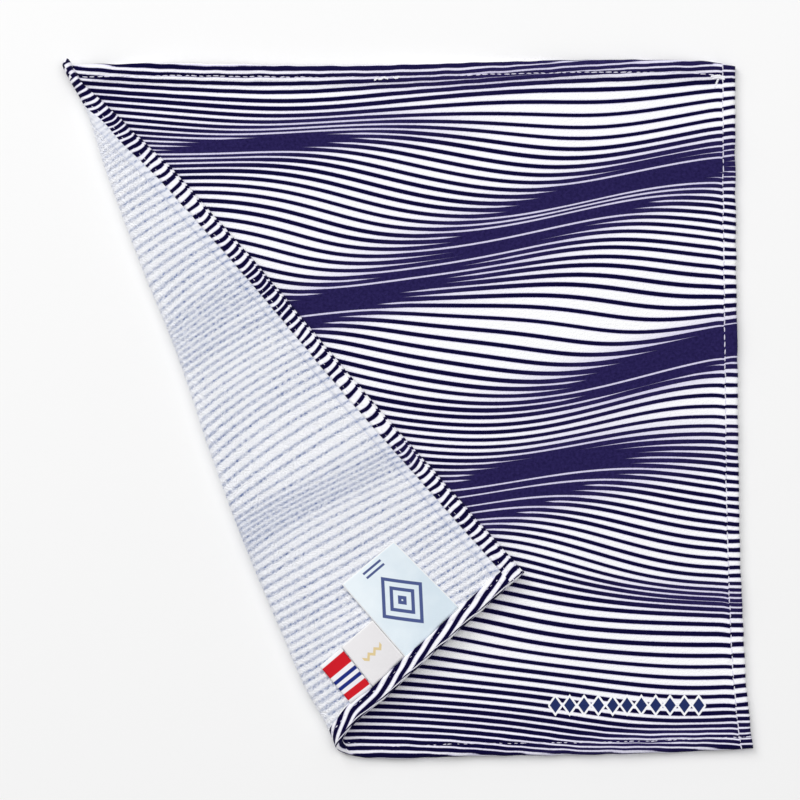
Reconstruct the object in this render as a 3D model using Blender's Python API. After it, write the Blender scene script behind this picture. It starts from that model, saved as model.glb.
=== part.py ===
"""A square towel handkerchief, one corner folded over its front, with three labels sewn into its hem.

The cloth is described flat, as it was cut and hemmed, and a fold rule then carries every point to its place.
Metres, +Z up. The cloth lies with its printed front up, and the folded corner shows its back.
"""

import math
from collections import namedtuple

import bmesh
import bpy
import numpy as np

MM = 0.001

# The hemmed cloth, laid flat: its four corners, a little out of square.
TOP_LEFT = np.array((-132.0, 127.0)) * MM
TOP_RIGHT = np.array((120.6, 126.7)) * MM
BOTTOM_LEFT = np.array((-129.0, -126.6)) * MM
BOTTOM_RIGHT = np.array((127.3, -125.8)) * MM
SIDE = 254 * MM
CLOTH_THICKNESS = 1.8 * MM
HEM_EXTRA = 1.4 * MM
HEM_FULL_WIDTH = 4.6 * MM
HEM_WIDTH = 6.6 * MM
RIM_DEPTH = 1.1 * MM
RIM_ANGLES = (-90, -45, 0, 45, 90)
CELL = 9 * MM
TOWEL_COLOUR = (0.36, 0.36, 0.46)
TOWEL_ROUGHNESS = 0.95
SHARP_ANGLE = math.radians(50)

# How far each edge swells beyond the straight line between its corners.
EdgeWave = namedtuple("EdgeWave", "share swell")
TOP_EDGE = (
    EdgeWave(0.00, 0.0 * MM),
    EdgeWave(0.15, 0.7 * MM),
    EdgeWave(0.42, 0.1 * MM),
    EdgeWave(0.57, 0.9 * MM),
    EdgeWave(0.86, 2.2 * MM),
    EdgeWave(0.96, 1.5 * MM),
    EdgeWave(1.00, 0.0 * MM),
)
RIGHT_EDGE = (
    EdgeWave(0.00, 0.0 * MM),
    EdgeWave(0.08, -1.7 * MM),
    EdgeWave(0.22, -2.7 * MM),
    EdgeWave(0.60, -1.9 * MM),
    EdgeWave(0.85, -0.9 * MM),
    EdgeWave(1.00, 0.0 * MM),
)
BOTTOM_EDGE = (
    EdgeWave(0.00, 0.0 * MM),
    EdgeWave(0.18, -0.3 * MM),
    EdgeWave(0.28, -0.8 * MM),
    EdgeWave(0.34, -2.4 * MM),
    EdgeWave(0.43, 2.4 * MM),
    EdgeWave(0.60, 2.4 * MM),
    EdgeWave(0.85, 1.6 * MM),
    EdgeWave(1.00, 0.0 * MM),
)
LEFT_EDGE = (
    EdgeWave(0.00, 0.0 * MM),
    EdgeWave(0.36, 0.0 * MM),
    EdgeWave(0.67, 1.8 * MM),
    EdgeWave(0.80, 0.6 * MM),
    EdgeWave(0.89, -2.8 * MM),
    EdgeWave(0.95, -3.8 * MM),
    EdgeWave(1.00, 0.0 * MM),
)

# The fold runs in a nearly straight line. Each row gives how far its rounded edge bows out past that line,
# half the height of the loop that the cloth makes there, and the distance from that line at which the folded
# layer mirrors the flat cloth.
FOLD_TOP = np.array((-118.8, 111.9)) * MM
FOLD_FOOT = np.array((-31.1, -116.0)) * MM
FoldRow = namedtuple("FoldRow", "share bow half_height mirror")
FOLD_ROWS = (
    FoldRow(-0.10, 3.6 * MM, 3.7 * MM, 8.0 * MM),
    FoldRow(-0.06, 3.2 * MM, 3.7 * MM, 7.0 * MM),
    FoldRow(0.00, 1.2 * MM, 3.6 * MM, 4.5 * MM),
    FoldRow(0.10, 2.2 * MM, 3.3 * MM, 6.0 * MM),
    FoldRow(0.25, 2.7 * MM, 3.3 * MM, 7.0 * MM),
    FoldRow(0.40, 2.0 * MM, 3.5 * MM, 6.8 * MM),
    FoldRow(0.55, 3.6 * MM, 3.6 * MM, 6.6 * MM),
    FoldRow(0.70, 4.0 * MM, 3.8 * MM, 6.5 * MM),
    FoldRow(0.85, 2.9 * MM, 4.0 * MM, 6.5 * MM),
    FoldRow(0.95, 1.8 * MM, 4.1 * MM, 6.3 * MM),
    FoldRow(1.00, -0.2 * MM, 4.2 * MM, 6.0 * MM),
    FoldRow(1.06, -0.4 * MM, 4.1 * MM, 5.0 * MM),
)
LEAST_EASE = 8 * MM
MOST_EASE = 45 * MM
EASED_WIDTH = 0.9

# From the top of the loop the folded layer slopes down to rest just above the lying one, and its lower hem
# stands off it a little, most beside the fold.
DESCENT = 18 * MM
LAYER_GAP = 0.4 * MM
HEM_SHELF = 8 * MM
HEM_SHELF_END = 14 * MM
FLAP_FOOT = np.array((-25.6, -124.5)) * MM
FLAP_CORNER = np.array((42.6, -60.9)) * MM
LIFT_AT_FOOT = 2.4 * MM
LIFT_AT_CORNER = 0.5 * MM
LIFT_REACH = 28 * MM

# Lines parallel to the fold that divide the cloth more finely: how much of the loop lies before each, and
# how far past the loop it runs.
FoldLine = namedtuple("FoldLine", "loop_share beyond")
LOOP_PARTS = 6
FOLD_LINES = [FoldLine(i / LOOP_PARTS, 0.0) for i in range(LOOP_PARTS + 1)]
FOLD_LINES += [FoldLine(1.0, beyond * MM) for beyond in (5, 11, 19)]
SNAP = 0.5 * MM
NORMAL_STEP = 0.2 * MM

# The labels lie on the folded layer's back. Each is caught in the lower hem along its last two corners.
LABEL_THICKNESS = 0.9 * MM
LABEL_GAP = 0.45 * MM
LABEL_CELL = 4 * MM
LABEL_ROUGHNESS = 0.6
PALE_BLUE = (0.72, 0.83, 0.88)
CREAM = (0.80, 0.79, 0.75)
RED = (0.66, 0.07, 0.09)
Label = namedtuple("Label", "name far_left far_right hem_right hem_left colour")
LABELS = (
    Label("wide_label", (-24.8, -64.9), (-5.6, -49.0), (17.2, -71.9), (-2.3, -90.7), PALE_BLUE),
    Label("cream_label", (-24.8, -87.9), (-14.1, -78.6), (-3.1, -91.2), (-13.8, -101.7), CREAM),
    Label("narrow_label", (-32.9, -94.9), (-25.5, -88.6), (-14.6, -102.4), (-22.0, -108.0), RED),
)

FOLD_LENGTH = np.linalg.norm(FOLD_FOOT - FOLD_TOP)
FOLD_ALONG = (FOLD_FOOT - FOLD_TOP) / FOLD_LENGTH
FOLD_OUT = np.array((FOLD_ALONG[1], -FOLD_ALONG[0]))
FLAP_EDGE_LENGTH = np.linalg.norm(FLAP_CORNER - FLAP_FOOT)
FLAP_EDGE_ALONG = (FLAP_CORNER - FLAP_FOOT) / FLAP_EDGE_LENGTH
FLAP_EDGE_IN = np.array((-FLAP_EDGE_ALONG[1], FLAP_EDGE_ALONG[0]))


def eased(x):
    """0 to 1 on a soft S, flat at both ends."""
    x = np.clip(x, 0.0, 1.0)
    return x * x * (3 - 2 * x)


def curve_through(rows, column, share):
    """A column's value at each share, on a smooth curve through the rows."""
    xs = np.array([row.share for row in rows])
    ys = np.array([getattr(row, column) for row in rows])
    slopes = np.gradient(ys, xs)
    first = np.clip(np.searchsorted(xs, share) - 1, 0, len(xs) - 2)
    span = xs[first + 1] - xs[first]
    s = np.clip((share - xs[first]) / span, 0.0, 1.0)
    start = (1 + 2 * s) * (1 - s) ** 2 * ys[first] + s * (1 - s) ** 2 * span * slopes[first]
    end = s * s * (3 - 2 * s) * ys[first + 1] - s * s * (1 - s) * span * slopes[first + 1]
    return start + end


def edge_point(start, end, waves, outward, share):
    """A point of one flat edge."""
    share = share[..., None]
    swell = curve_through(waves, "swell", share)
    return start + (end - start) * share + np.array(outward) * swell


def between_corners(bottom_left, bottom_right, top_left, top_right, across, up):
    """The point at these shares of a four-cornered piece's width and height."""
    across = across[..., None]
    up = up[..., None]
    lower = (1 - across) * bottom_left + across * bottom_right
    upper = (1 - across) * top_left + across * top_right
    return (1 - up) * lower + up * upper


def flat_point(across, up):
    """The flat cloth's point at these shares of its width and height, between its four waved edges."""
    top = edge_point(TOP_LEFT, TOP_RIGHT, TOP_EDGE, (0, 1), across)
    bottom = edge_point(BOTTOM_LEFT, BOTTOM_RIGHT, BOTTOM_EDGE, (0, -1), across)
    left = edge_point(BOTTOM_LEFT, TOP_LEFT, LEFT_EDGE, (-1, 0), up)
    right = edge_point(BOTTOM_RIGHT, TOP_RIGHT, RIGHT_EDGE, (1, 0), up)
    straight = between_corners(BOTTOM_LEFT, BOTTOM_RIGHT, TOP_LEFT, TOP_RIGHT, across, up)
    across = across[..., None]
    up = up[..., None]
    return (1 - up) * bottom + up * top + (1 - across) * left + across * right - straight


def hem_extra(across, up):
    """How much thicker the turned hem makes the cloth here."""
    inset = SIDE * np.minimum(np.minimum(across, 1 - across), np.minimum(up, 1 - up))
    return HEM_EXTRA * (1 - eased((inset - HEM_FULL_WIDTH) / (HEM_WIDTH - HEM_FULL_WIDTH)))


def from_fold(place):
    """How far along the fold's straight line each place lies, and how far out from it."""
    return (place - FOLD_TOP) @ FOLD_ALONG, (place - FOLD_TOP) @ FOLD_OUT


def loop_sizes(along):
    """The loop's half height, where the cloth leaves the floor for it, and the length of cloth in it."""
    half_height = curve_through(FOLD_ROWS, "half_height", along / FOLD_LENGTH)
    start = curve_through(FOLD_ROWS, "bow", along / FOLD_LENGTH) - half_height
    return half_height, start, math.pi * (half_height - CLOTH_THICKNESS / 2)


def left_edge_out(along):
    """How far out from the fold's line the flat cloth reaches, to its left edge."""
    top_along, top_out = from_fold(TOP_LEFT)
    bottom_along, bottom_out = from_fold(BOTTOM_LEFT)
    return top_out + (along - top_along) * (bottom_out - top_out) / (bottom_along - top_along)


def hem_shelf(distance):
    """The height that the lying layer's hem adds under the folded one."""
    return HEM_EXTRA * (1 - eased((distance - HEM_SHELF) / (HEM_SHELF_END - HEM_SHELF)))


def resting_height(place):
    """The height of the folded layer's back where it has come to rest."""
    under = hem_shelf(TOP_RIGHT[1] - place[..., 1]) + hem_shelf(place[..., 1] - BOTTOM_RIGHT[1])
    from_foot = (place - FLAP_FOOT) @ FLAP_EDGE_ALONG / FLAP_EDGE_LENGTH
    inward = np.maximum((place - FLAP_FOOT) @ FLAP_EDGE_IN, 0)
    lift = LIFT_AT_FOOT + (LIFT_AT_CORNER - LIFT_AT_FOOT) * eased(from_foot)
    return 2 * CLOTH_THICKNESS + LAYER_GAP + under + lift * np.exp(-((inward / LIFT_REACH) ** 2))


def flap_back(place):
    """The height of the folded layer's back, and how far it has settled from the loop's top to its rest."""
    along, outward = from_fold(place)
    half_height, loop_start, _ = loop_sizes(along)
    settled = eased((loop_start - outward) / DESCENT)
    top = 2 * half_height
    return top + (resting_height(place) - top) * settled, settled


def folded_back(across, up):
    """The plain cloth's back after folding, and how far each point has settled past the loop."""
    along, out = from_fold(flat_point(across, up))
    half_height, loop_start, loop_length = loop_sizes(along)
    turn = np.clip((out - loop_start) / loop_length, 0, 1) * math.pi
    beyond = np.maximum(out - loop_start - loop_length, 0)
    left = left_edge_out(along) - loop_start - loop_length
    ease_length = np.clip(EASED_WIDTH * left, LEAST_EASE, MOST_EASE)
    mirror = curve_through(FOLD_ROWS, "mirror", along / FOLD_LENGTH)
    shift = (mirror - 2 * loop_start - loop_length) * eased(beyond / ease_length)
    round_loop = loop_start + half_height * np.sin(turn) - beyond + shift
    outward = np.where(out < loop_start, out, round_loop)
    place = FOLD_TOP + along[..., None] * FOLD_ALONG + outward[..., None] * FOLD_OUT
    flap_height, settled = flap_back(place)
    height = np.where(beyond > 0, flap_height, half_height * (1 - np.cos(turn)))
    return np.concatenate([place, height[..., None]], axis=-1), settled * (beyond > 0)


def cloth_points(across, up, depth):
    """Points of the folded cloth, from its back at depth 0 to its printed front at depth 1."""
    step = NORMAL_STEP / SIDE
    back, settled = folded_back(across, up)
    sideways = folded_back(across + step, up)[0] - folded_back(across - step, up)[0]
    upward = folded_back(across, up + step)[0] - folded_back(across, up - step)[0]
    normal = np.cross(sideways, upward)
    normal /= np.linalg.norm(normal, axis=-1, keepdims=True)
    extra = hem_extra(across, up)
    from_back = depth * (CLOTH_THICKNESS + extra) - settled * extra
    return back + normal * from_back[..., None]


def label_points(label, across, up, depth):
    """Points of a label, from the face on the cloth at depth 0 to the face that shows at depth 1."""
    corners = (label.hem_left, label.hem_right, label.far_left, label.far_right)
    place = between_corners(*(np.array(corner) * MM for corner in corners), across, up)
    height = flap_back(place)[0] + LABEL_GAP + depth * LABEL_THICKNESS
    return np.concatenate([place, height[..., None]], axis=-1)


def even_lines(start, end, cell):
    """Values from start to end in even cells of about this size."""
    count = max(1, round((end - start) / cell))
    return [start + (end - start) * i / count for i in range(count + 1)]


def share_grid(across_lines, up_lines):
    """A grid of quads whose vertices hold their shares as x and y."""
    grid = bmesh.new()
    rows = [[grid.verts.new((across, up, 0)) for across in across_lines] for up in up_lines]
    for lower, upper in zip(rows, rows[1:]):
        for i in range(len(lower) - 1):
            grid.faces.new((lower[i], lower[i + 1], upper[i + 1], upper[i]))
    return grid


def shares_of(grid):
    shares = np.array([vert.co[:2] for vert in grid.verts])
    return shares[:, 0], shares[:, 1]


def cut_along(grid, line):
    """Splits the faces that a line parallel to the fold crosses."""
    along, out = from_fold(flat_point(*shares_of(grid)))
    _, loop_start, loop_length = loop_sizes(along)
    past = dict(zip(grid.verts, out - loop_start - line.loop_share * loop_length - line.beyond))
    crossed = [vert for vert, distance in past.items() if abs(distance) < SNAP]
    for edge in list(grid.edges):
        first, second = edge.verts
        a, b = past[first], past[second]
        if min(abs(a), abs(b)) >= SNAP and a * b < 0:
            crossed.append(bmesh.utils.edge_split(edge, first, a / (a - b))[1])
    bmesh.ops.connect_verts(grid, verts=crossed)


def closed_between(grid, layers):
    """A closed solid: the grid's faces on the first and last layers of points, and walls through them all."""
    bmesh.ops.triangulate(grid, faces=grid.faces[:])
    grid.verts.index_update()
    solid = bmesh.new()
    edge_verts = {vert.index for vert in grid.verts if vert.is_boundary}
    back, *between, front = layers
    rings = [[solid.verts.new(point) for point in back]]
    for layer in between:
        rings.append({i: solid.verts.new(layer[i]) for i in edge_verts})
    rings.append([solid.verts.new(point) for point in front])
    for face in grid.faces:
        corners = [vert.index for vert in face.verts]
        solid.faces.new([rings[-1][i] for i in corners])
        solid.faces.new([rings[0][i] for i in reversed(corners)])
        for loop in face.loops:
            if loop.edge.is_boundary:
                a, b = loop.vert.index, loop.link_loop_next.vert.index
                for lower, upper in zip(rings, rings[1:]):
                    solid.faces.new((lower[a], lower[b], upper[b], upper[a]))
    grid.free()
    bmesh.ops.triangulate(solid, faces=[face for face in solid.faces if len(face.verts) > 3])
    return solid


def towel_solid():
    """The folded cloth as one closed solid: its back, its front and the rounded rim between them."""
    hem = [RIM_DEPTH, HEM_FULL_WIDTH]
    insets = hem + even_lines(HEM_WIDTH, SIDE - HEM_WIDTH, CELL) + [SIDE - inset for inset in reversed(hem)]
    lines = [inset / SIDE for inset in insets]
    grid = share_grid(lines, lines)
    for fold_line in FOLD_LINES:
        cut_along(grid, fold_line)
    across, up = shares_of(grid)
    layers = []
    for angle in map(math.radians, RIM_ANGLES):
        rim = RIM_DEPTH * (1 - math.cos(angle)) / SIDE
        moved = []
        for share in (across, up):
            share = np.where(np.isclose(share, lines[0]), rim, share)
            moved.append(np.where(np.isclose(share, lines[-1]), 1 - rim, share))
        layers.append(cloth_points(*moved, (1 + math.sin(angle)) / 2))
    return closed_between(grid, layers)


def label_solid(label):
    """One label as a thin closed solid that follows the cloth under it."""
    width = np.linalg.norm(np.subtract(label.far_left, label.far_right)) * MM
    length = np.linalg.norm(np.subtract(label.far_left, label.hem_left)) * MM
    across_lines = [line / width for line in even_lines(0, width, LABEL_CELL)]
    up_lines = [line / length for line in even_lines(0, length, LABEL_CELL)]
    grid = share_grid(across_lines, up_lines)
    shares = shares_of(grid)
    return closed_between(grid, [label_points(label, *shares, depth) for depth in (0, 1)])


def add_piece(name, solid, colour, roughness, origin):
    """A named object of one solid, with its material, placed with the cloth's origin."""
    mesh = bpy.data.meshes.new(name)
    solid.to_mesh(mesh)
    solid.free()
    mesh.shade_smooth()
    mesh.set_sharp_from_angle(angle=SHARP_ANGLE)
    material = bpy.data.materials.new(name)
    material.use_nodes = True
    shader = material.node_tree.nodes["Principled BSDF"]
    shader.inputs["Base Color"].default_value = (*colour, 1)
    shader.inputs["Roughness"].default_value = roughness
    shader.inputs["Metallic"].default_value = 0
    mesh.materials.append(material)
    piece = bpy.data.objects.new(name, mesh)
    bpy.context.scene.collection.objects.link(piece)
    piece.parent = origin
    return piece


def main():
    for old in list(bpy.data.objects):
        bpy.data.objects.remove(old)
    origin = bpy.data.objects.new("cloth_origin", None)
    bpy.context.scene.collection.objects.link(origin)
    towel = add_piece("towel", towel_solid(), TOWEL_COLOUR, TOWEL_ROUGHNESS, origin)
    for label in LABELS:
        add_piece(label.name, label_solid(label), label.colour, LABEL_ROUGHNESS, origin)
    points = np.array([vert.co for vert in towel.data.vertices])
    middle = (points.min(axis=0) + points.max(axis=0)) / 2
    origin.location = (-middle[0], -middle[1], -points[:, 2].min())


main()
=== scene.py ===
"""The looks of a square towel handkerchief that lies with one corner folded over its printed front.

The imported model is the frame. The cloth is made again here as a finer sheet, by the same flat cloth and fold
rule as the solids, and is then printed, stitched and given its labels. Metres, +Z up. Patterns on the cloth
are worked out in millimetres of the flat cloth, and the names of their sizes end in _MM.
"""

import math
from collections import namedtuple

import bpy
import numpy as np
from mathutils import Matrix, Vector

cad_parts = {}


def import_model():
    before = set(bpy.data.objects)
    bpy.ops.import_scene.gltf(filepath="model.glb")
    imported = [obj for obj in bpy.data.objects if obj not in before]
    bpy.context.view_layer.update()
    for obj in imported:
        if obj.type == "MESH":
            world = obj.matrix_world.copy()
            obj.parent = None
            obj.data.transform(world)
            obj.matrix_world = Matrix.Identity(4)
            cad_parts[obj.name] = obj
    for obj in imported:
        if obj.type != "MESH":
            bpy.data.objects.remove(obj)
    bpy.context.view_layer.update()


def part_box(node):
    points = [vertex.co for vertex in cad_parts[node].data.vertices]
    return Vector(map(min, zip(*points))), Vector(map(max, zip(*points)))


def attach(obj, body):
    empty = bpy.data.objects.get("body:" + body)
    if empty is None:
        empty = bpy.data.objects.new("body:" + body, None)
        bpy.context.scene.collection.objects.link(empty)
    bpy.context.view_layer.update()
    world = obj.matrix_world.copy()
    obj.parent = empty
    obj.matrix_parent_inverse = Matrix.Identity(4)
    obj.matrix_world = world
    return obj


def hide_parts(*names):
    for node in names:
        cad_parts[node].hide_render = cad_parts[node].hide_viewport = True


MM = 0.001
FLAT_MAP = "flat_cloth"


def mm(*lengths):
    """An array of lengths or places, given in millimetres."""
    return np.array(lengths) * MM


def rows_mm(kind, *rows):
    """The rows of a table, each a share and then its lengths, given in millimetres."""
    return [kind(share, *mm(*lengths)) for share, *lengths in rows]


def colour(red, green, blue):
    """A colour as seen on a screen, 0 to 255, as the shader takes it."""
    seen = [value / 255 for value in (red, green, blue)]
    linear = [((value + 0.055) / 1.055) ** 2.4 if value > 0.04045 else value / 12.92 for value in seen]
    return (*linear, 1.0)


# The hemmed cloth, laid flat: its four corners, a little out of square.
TOP_LEFT = mm(-132.0, 127.0)
TOP_RIGHT = mm(120.6, 126.7)
BOTTOM_LEFT = mm(-129.0, -126.6)
BOTTOM_RIGHT = mm(127.3, -125.8)
SIDE = 254 * MM

# The cloth's thickness, the depths of its back and front in it, and its rim, which is rounded by layers at
# these angles.
CLOTH_THICKNESS = 1.8 * MM
BACK = 0.0
FRONT = 1.0
RIM_DEPTH = 1.1 * MM
RIM_ANGLES = (-90, -54, -18, 18, 54, 90)

# The hem: its thickness fades softly on the front, and ends in a turned edge on the back.
HEM_EXTRA = 1.4 * MM
HEM_WIDTH = 6.3 * MM
HEM_EDGE = 0.5 * MM
HEM_FRONT_START = 4.2 * MM
HEM_FRONT_FADE = 5.0 * MM
SEAM_INSET = 4.7 * MM
SEAM_DEPTH = 0.35 * MM
SEAM_WIDTH = 0.7 * MM
PUCKER_WIDTH = 2.6 * MM

# The plain border beside the side hems, where the back has no loops, and the groove in which it ends.
BORDER = 9.5 * MM
BORDER_DEPTH = 0.55 * MM
BORDER_WIDTH = 0.3 * MM
# Painted shade in the groove where the loops begin, and the plain border's own darker tone beside it.
GROOVE_SHADE_AND_BORDER_TONE = "groove_shade_and_border_tone"
PLAIN_BORDER_TONE = 0.27
BORDER_STRENGTH = 0.44

# How far each edge swells beyond the straight line between its corners.
EdgeWave = namedtuple("EdgeWave", "share swell")
TOP_EDGE = rows_mm(EdgeWave, (0, 0), (0.15, 0.7), (0.42, 0.1), (0.57, 0.9), (0.86, 2.2), (0.96, 1.5), (1, 0))
RIGHT_EDGE = rows_mm(EdgeWave, (0, 0), (0.08, -1.7), (0.22, -2.7), (0.60, -1.9), (0.85, -0.9), (1, 0))
BOTTOM_EDGE = rows_mm(
    EdgeWave, (0, 0), (0.18, -0.3), (0.28, -0.8), (0.34, -2.4), (0.43, 2.4), (0.60, 2.4), (0.85, 1.6), (1, 0)
)
LEFT_EDGE = rows_mm(EdgeWave, (0, 0), (0.36, 0), (0.67, 1.8), (0.80, 0.6), (0.89, -2.8), (0.95, -3.8), (1, 0))

# The fold, as in the solids: how far its rounded edge bows out past the fold's line, half the height of the
# loop there, and the distance from the line at which the folded layer mirrors the flat cloth.
FOLD_TOP = mm(-118.8, 111.9)
FOLD_FOOT = mm(-31.1, -116.0)
FoldRow = namedtuple("FoldRow", "share bow half_height mirror")
FOLD_ROWS = rows_mm(
    FoldRow,
    (-0.10, 3.6, 3.7, 8.0),
    (-0.06, 3.2, 3.7, 7.0),
    (0.00, 1.2, 3.6, 4.5),
    (0.10, 2.2, 3.3, 6.0),
    (0.25, 2.7, 3.3, 7.0),
    (0.40, 2.0, 3.5, 6.8),
    (0.55, 3.6, 3.6, 6.6),
    (0.70, 4.0, 3.8, 6.5),
    (0.85, 2.9, 4.0, 6.5),
    (0.95, 1.8, 4.1, 6.3),
    (1.00, -0.2, 4.2, 6.0),
    (1.06, -0.4, 4.1, 5.0),
)

# The folded layer moves over to that mirror line within this share of its width, and within these limits.
EASED_WIDTH = 0.9
LEAST_EASE = 8 * MM
MOST_EASE = 45 * MM

# The folded layer's slope down from the loop, its rest above the lying layer, and how its lower hem lifts.
DESCENT = 18 * MM
LAYER_GAP = 0.4 * MM
HEM_SHELF = 8 * MM
HEM_SHELF_END = 14 * MM
FLAP_FOOT = mm(-25.6, -124.5)
FLAP_CORNER = mm(42.6, -60.9)
LIFT_AT_FOOT = 4.0 * MM
LIFT_AT_CORNER = 2.2 * MM
LIFT_REACH = 28 * MM

# The direction of the fold and that of the folded layer's lower edge, with the directions across them.
FOLD_LENGTH = np.linalg.norm(FOLD_FOOT - FOLD_TOP)
FOLD_ALONG = (FOLD_FOOT - FOLD_TOP) / FOLD_LENGTH
FOLD_OUT = np.array((FOLD_ALONG[1], -FOLD_ALONG[0]))
FLAP_EDGE_LENGTH = np.linalg.norm(FLAP_CORNER - FLAP_FOOT)
FLAP_EDGE_ALONG = (FLAP_CORNER - FLAP_FOOT) / FLAP_EDGE_LENGTH
FLAP_EDGE_IN = np.array((-FLAP_EDGE_ALONG[1], FLAP_EDGE_ALONG[0]))

# The sheet's own grid: its cells, and how far from an edge its closer lines in the hem lie.
SHEET_CELL = 1.5 * MM
HEM_LINES = [
    *mm(1.1, 1.7, 2.4, 3.1, 3.8, 4.25, 4.7, 5.15, 5.7, 6.05),
    *mm(6.3, 6.55, 7.0, 7.8, 8.6, 9.2, 9.5, 9.8, 10.3),
]
NORMAL_STEP = 0.2 * MM

# The cloth's unevenness: the height of each ripple, its length, and the seed of the few sine waves that
# make it, which are closer or wider than that length by a chance within the spread.
Ripple = namedtuple("Ripple", "height length seed")
RIPPLE_WAVES = 7
RIPPLE_SPREAD = (0.7, 1.4)
EDGE_RIPPLE = 0.13 * MM
EDGE_RIPPLES = (Ripple(EDGE_RIPPLE, 11 * MM, 11), Ripple(EDGE_RIPPLE, 11 * MM, 12))
EDGE_RIPPLE_REACH = 9 * MM
PUCKER = Ripple(0.16 * MM, 5 * MM, 13)
FRONT_RIPPLE = Ripple(0.14 * MM, 34 * MM, 14)
FLAP_RIPPLE = Ripple(0.35 * MM, 48 * MM, 15)

# How far the print on the turned hem has slipped along the edge, and how the side seams have dragged it.
HEM_SLIP = -1.3 * MM
HEM_BEND = 1.6 * MM
SLIP_RIPPLE = Ripple(0.5 * MM, 9 * MM, 16)
SEAM_DRAG = 0.5 * MM
SEAM_DRAG_WIDTH = 1.6 * MM

# The printed stripes: how far apart, how wide, and the slow waves that they follow.
STRIPE_PITCH_MM = 2.75
STRIPE_WIDTH_MM = 1.52
STRIPE_STEP_MM = 0.15
STRIPE_VARIETY = 0.35
LEAST_DENSITY = 0.02
StripeWave = namedtuple("StripeWave", "stripes x_mm y_mm start")
STRIPE_WAVES = (
    StripeWave(1.1, 44, 60, 0.6),
    StripeWave(0.6, 30, -50, 2.0),
    StripeWave(0.7, 90, 16, 1.0),
)

# The swells, where stripes crowd together, or spread apart if their number is negative: middle, slope, reach
# along, width across, and stripes drawn in.
Swell = namedtuple("Swell", "x y slope reach width lines")
SWELLS = (
    Swell(-46, 100, 0.05, 60, 6.0, 2.3),
    Swell(50, 125, 0.02, 90, 5.0, 1.6),
    Swell(66, 76, 0.25, 62, 9.0, 3.5),
    Swell(-36, 36, 0.19, 66, 7.0, 2.8),
    Swell(98, 18, 0.22, 56, 8.0, 3.2),
    Swell(26, -34, 0.25, 74, 9.5, 3.7),
    Swell(108, -70, -0.16, 46, 5.5, 1.5),
    Swell(6, -92, 0.1, 48, 14.0, -1.15),
    Swell(-92, -54, 0.22, 50, 6.0, 1.6),
    Swell(84, -124, 0.05, 50, 5.0, 1.3),
)
SWELL_BEND_MM = 2.4
SWELL_BEND_LENGTH_MM = 24
SWELL_TAIL = 5.0

# How many more stripes lie below a place for each millimetre that it lies beyond the fold's line, and the
# distance from the fold over which this sets in.
FOLD_DRIFT = 0.068
FOLD_DRIFT_START_MM = 18

# In a swell's middle most gaps close up to solid ink, and the rest stay open as slivers.
FLOOD_WIDTH = 1.25
FLOOD_OF_LINE = 0.33
FLOOD_START = 0.35
FLOOD_INK_MM = 0.8
SLIVER_SHARE = 0.3
SLIVER_MM = 0.64
SLIVER_TAPER = 9.0
SLIVER_TINT = 0.6
OPEN_LIMIT = 2.0
CLOSING_LIMIT = 0.25
CLOSING_SPREAD = 0.5
LEAST_LINE_MM = 0.8

# The finish of all the cloth, and how fine its cloudy noise is.
CLOTH_FINISH = {"Specular IOR Level": 0.08, "Sheen Roughness": 0.5}
CLOUD_DETAIL = 2.0

# The finish of the printed face.
PRINT_FINISH = {"Roughness": 0.85, "Sheen Weight": 0.02}
WEAVE_GRAIN_MM = 0.6
PRINT_WOBBLE_MM = 0.14
INK_EDGE_MM = 0.14
BLEED_MM = 0.45
BLEED_STRENGTH = 0.7
INK_PATCH_MM = 1.1
INK_PATCH_CONTRAST = 2.0
INK_PATCH_DETAIL = 3.0
SOLID_START = 0.1
SOLID_RANGE = 0.4
WEAVE_BUMP_MM = 0.25
SOFT_BUMP_MM = 0.2

# The small row of lozenges near the lower right corner.
ROW_X_MM = 80.6
ROW_Y_MM = -109.7
ROW_PITCH_MM = 5.3
ROW_COUNT = 11
ROW_HALF_WIDTH_MM = 2.1
ROW_HALF_HEIGHT_MM = 2.9
ROW_CLEARING = 1.42

# The finish of the looped back.
LOOP_FINISH = {"Roughness": 1.0, "Sheen Weight": 0.2}
LOOP_WIDTH_MM = 0.9
LOOP_LENGTH_MM = 1.4
LOOP_CLOUD_MM = 3.0
LOOP_BUMP_MM = 0.6
STRIKE_BREAK_MM = 1.8
STRIKE_GRAIN_MM = 0.75
STRIKE_DRY = 0.34
STRIKE_CONTRAST = 2.6
STRIKE_LEAST = 0.22
STRIKE_EDGE_MM = 0.9
STRIKE_OFFSET = 0.25
STRIKE_STRENGTH = 0.9
# The strike-through fades on the fold's rounded edge. This is a painted highlight where the fold turns towards
# the light.
STRIKE_IN_FOLD_HIGHLIGHT = 0.35
FOLD_HIGHLIGHT_START_MM = 2.5
FOLD_HIGHLIGHT_MM = 4.5
FAINT_START_MM = 72
FAINT_REACH_MM = 26
FAINT_SHARE = 0.45
BAND_STRENGTH = 0.22

# The short pile on the back, made where the cloth is folded over, as small rounded loops.
PILE_PITCH = 0.76 * MM
PILE_JITTER = 0.35
PILE_START = 0.5
PILE_CLEAR = 0.6 * MM
PILE_STEP = 0.5 * MM
PILE_SEED = 24
PILE_SEGMENTS = 4
PILE_RINGS = 2
PILE_LOOP = {
    "Length": 1.05 * MM,
    "Width": 0.62 * MM,
    "Height": 0.48 * MM,
    "Unevenness": 0.25,
    "Turn": 0.8,
    "Seed": 25,
}

# What the points of a guide keep: the direction out of the cloth, the one along it, and the flat place.
OUTWARD = "outward"
AHEAD = "ahead"
PLACE = "flat_place"

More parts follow.
